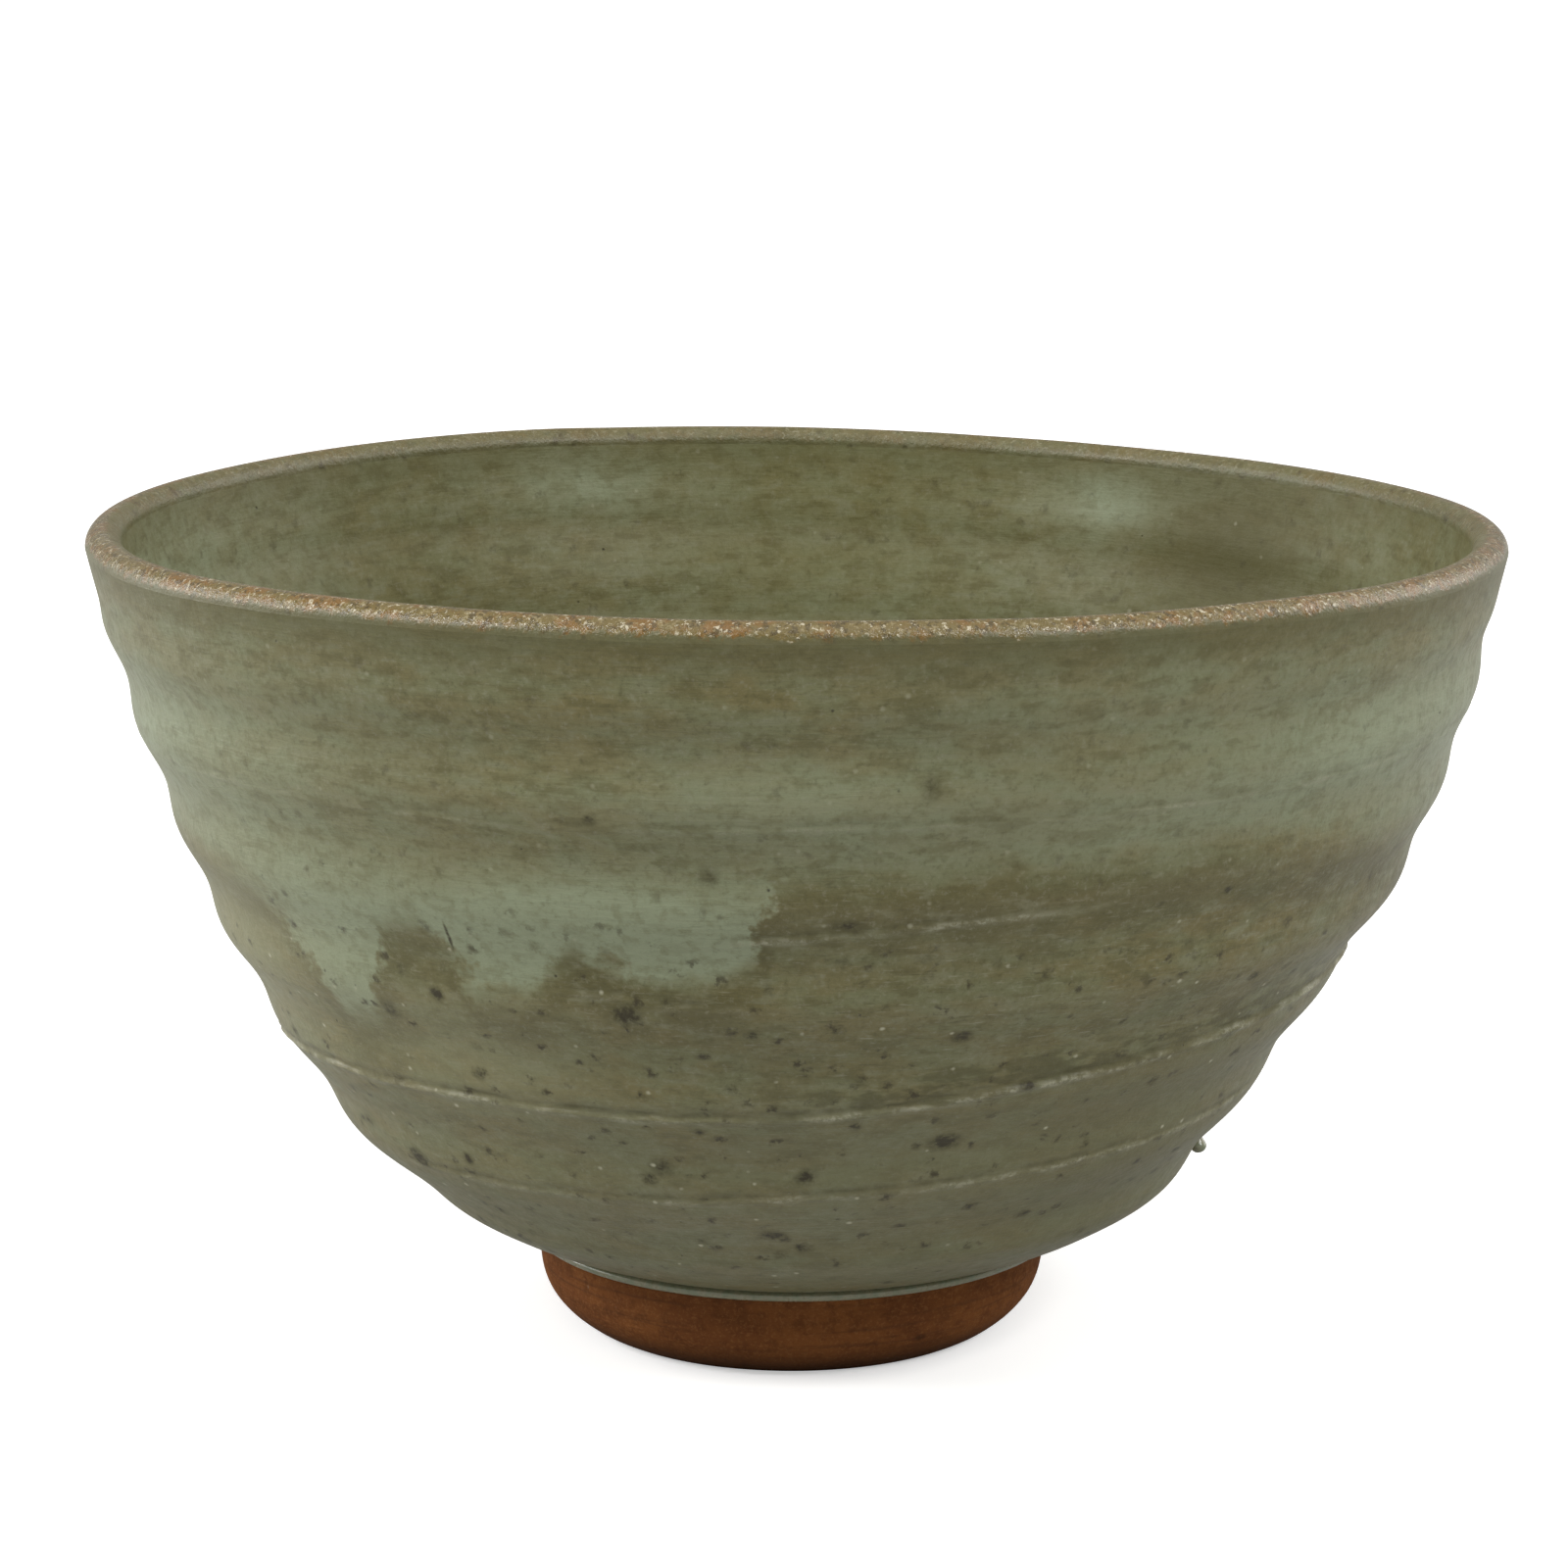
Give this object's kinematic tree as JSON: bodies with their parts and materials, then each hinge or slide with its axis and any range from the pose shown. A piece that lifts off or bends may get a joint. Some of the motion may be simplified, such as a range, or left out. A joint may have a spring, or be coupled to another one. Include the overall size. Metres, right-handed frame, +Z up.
{
  "type": "matcha bowl",
  "caption": "Wheel-thrown stoneware tea bowl with flared wall, rounded lip, low turned foot ring and a thin coat of ash glaze inside and out, for whisking and drinking powdered tea.",
  "frame": {"origin": "centre of the foot ring in the plane that the bowl stands on", "axes": "+Z up along the axis the bowl was thrown on, +X to the right and -Y towards the viewer; the glaze drop is on the +X side"},
  "size_m": [0.1236, 0.1236, 0.0732],
  "materials": {
    "stoneware_clay": "bare fired clay, matt, reddish brown",
    "ash_glaze": "satin gloss, grey-green with iron specks",
    "lip_glaze": "thin glossy glaze, iron brown showing through"
  },
  "bodies": {
    "root": {"clay_bowl": "stoneware_clay", "foot_ring": "stoneware_clay", "outer_glaze": "ash_glaze", "inner_glaze": "ash_glaze", "lip_glaze": "lip_glaze", "glaze_roll": "ash_glaze", "glaze_tear": "ash_glaze"}
  },
  "joints": []
}
